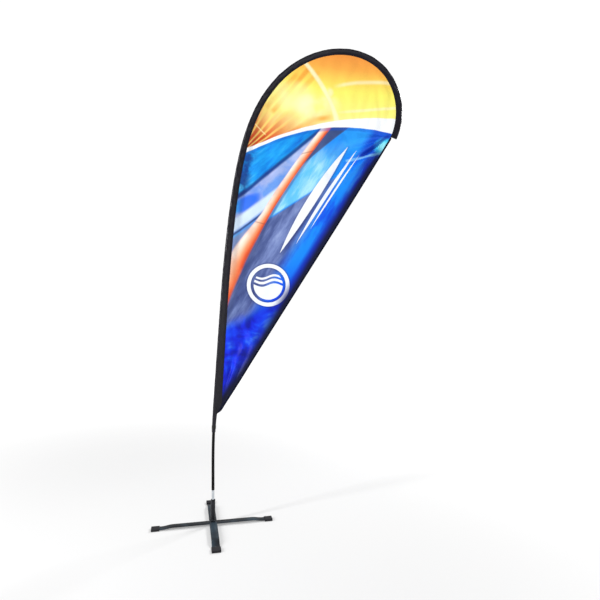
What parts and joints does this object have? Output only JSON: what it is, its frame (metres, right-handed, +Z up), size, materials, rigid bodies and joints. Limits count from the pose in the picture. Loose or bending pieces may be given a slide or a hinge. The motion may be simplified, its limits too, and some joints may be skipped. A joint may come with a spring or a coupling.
{
  "type": "teardrop flag",
  "caption": "Free-standing teardrop banner: printed cloth stretched by a bent tapered pole that turns on a ball-bearing spindle over a folding steel cross base.",
  "frame": {"origin": "on the floor, on the axis of the spindle and the pivot bolt", "axes": "+Z up along the spindle; the flag lies in the XZ plane and points to +X; the base's lower bar is turned 12.5 degrees from +X towards +Y"},
  "size_m": [1.6801, 0.7998, 3.2212],
  "materials": {
    "bar_steel": "dark blue-grey powder coat, satin",
    "foot_rubber": "moulded black rubber, matt",
    "fastener_steel": "zinc plated, satin",
    "washer_nylon": "natural nylon",
    "housing_paint": "black powder coat, satin",
    "bearing_steel": "ground bearing steel",
    "cage_metal": "steel balls in a pressed brass-coloured cage",
    "circlip_steel": "phosphated spring steel",
    "seal_rubber": "black nitrile rubber",
    "spindle_chrome": "bright chrome, polished",
    "pole_composite": "black glass-fibre composite, semi-gloss",
    "spigot_composite": "ground glass-fibre rod",
    "bush_plastic": "black acetal",
    "tip_rubber": "soft black rubber",
    "sleeve_fabric": "black woven polyester, faint sheen",
    "webbing": "black polyester webbing",
    "printed_polyester": "knitted polyester with a dye-sublimation print",
    "hem_fabric": "folded and stitched polyester hem, dark blue"
  },
  "bodies": {
    "base": {"lower_bar": "bar_steel", "foot_cap_left": "foot_rubber", "foot_cap_right": "foot_rubber", "pivot_bolt": "fastener_steel", "head_washer": "fastener_steel", "pivot_washer": "washer_nylon", "spring_washer": "fastener_steel", "lock_nut": "fastener_steel", "spindle_housing": "housing_paint", "lower_bearing_outer_ring": "bearing_steel", "upper_bearing_outer_ring": "bearing_steel", "outer_spacer_tube": "bearing_steel", "housing_circlip": "circlip_steel", "dust_seal": "seal_rubber"},
    "upper_leg": {"upper_bar": "bar_steel", "foot_cap_back": "foot_rubber", "foot_cap_front": "foot_rubber"},
    "ball_cages": {"lower_ball_cage": "cage_metal", "upper_ball_cage": "cage_metal"},
    "rotor": {"spindle_shaft": "spindle_chrome", "lower_bearing_inner_ring": "bearing_steel", "upper_bearing_inner_ring": "bearing_steel", "inner_spacer_tube": "bearing_steel", "shaft_circlip": "circlip_steel"},
    "pole": {"pole_bush": "bush_plastic", "pole_section_1": "pole_composite", "pole_section_2": "pole_composite", "pole_section_3": "pole_composite", "pole_section_4": "pole_composite", "joint_spigot_1": "spigot_composite", "joint_spigot_2": "spigot_composite", "joint_spigot_3": "spigot_composite", "tip_cap": "tip_rubber", "bottom_cuff": "sleeve_fabric", "cuff_strap": "webbing", "pole_sleeve": "sleeve_fabric", "tip_patch": "webbing", "flag_panel": "printed_polyester", "free_edge_hem": "hem_fabric"}
  },
  "joints": [
    {"name": "bar_fold", "type": "hinge", "parent": "base", "child": "upper_leg", "pos_m": [0, 0, 0.0207], "axis": [0, 0, 1], "range_deg": [-77, 77]},
    {"name": "spindle_spin", "type": "hinge", "parent": "base", "child": "rotor", "pos_m": [0, 0, 0.15], "axis": [0, 0, 1], "continuous": true},
    {"name": "ball_cage_spin", "type": "hinge", "parent": "base", "child": "ball_cages", "pos_m": [0, 0, 0.15], "axis": [0, 0, 1], "continuous": true},
    {"name": "pole_lift", "type": "slide", "parent": "rotor", "child": "pole", "axis": [0, 0, 1], "range_m": [0, 0.15]}
  ],
  "couplings": [
    {"joint": "ball_cage_spin", "follows": "spindle_spin", "ratio": 0.4167}
  ]
}
